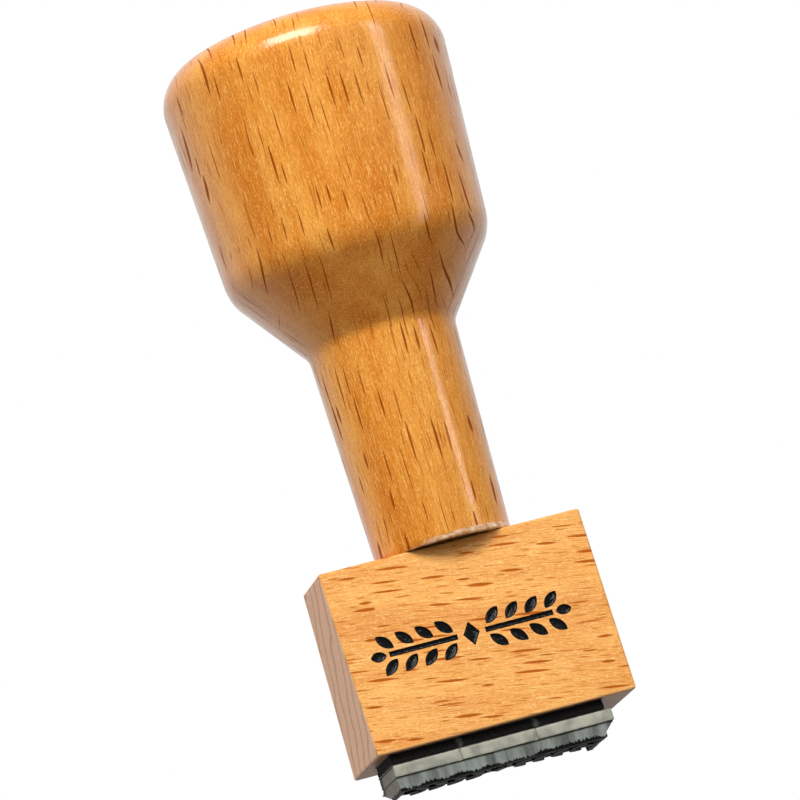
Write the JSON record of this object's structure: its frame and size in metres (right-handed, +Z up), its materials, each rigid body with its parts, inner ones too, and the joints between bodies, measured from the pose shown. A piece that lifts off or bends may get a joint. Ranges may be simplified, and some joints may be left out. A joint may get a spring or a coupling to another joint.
{
  "type": "rubber stamp",
  "caption": "Hand stamp: turned beech handle with a domed knob on a beech block, foam cushion and raised rubber die below.",
  "frame": {"origin": "the point of the handle's axis in the plane of the printing face, at the middle of the part's footprint", "axes": "+Z up the handle's axis; the block's long side runs along X; the marked face of the block looks towards -Y"},
  "size_m": [0.0332, 0.0332, 0.0888],
  "materials": {
    "lacquered_beech": "gloss lacquer",
    "oiled_beech": "satin",
    "mark_paint": "gloss",
    "adhesive": "matt film",
    "foam": "closed-cell foam",
    "engraved_rubber": "matt, ink stained",
    "screw_steel": "zinc plated"
  },
  "bodies": {
    "stamp": {"handle": "lacquered_beech", "handle_screw": "screw_steel", "block": "oiled_beech", "mark_infill": "mark_paint", "block_adhesive": "adhesive", "cushion": "foam"},
    "die": {"cushion_adhesive": "adhesive", "rubber_die": "engraved_rubber"}
  },
  "joints": [
    {"name": "cushion_squeeze", "type": "slide", "parent": "stamp", "child": "die", "axis": [0, 0, 1], "range_m": [0, 0.0005], "stiffness_N_per_m": 20000, "deforming": ["cushion"]}
  ]
}
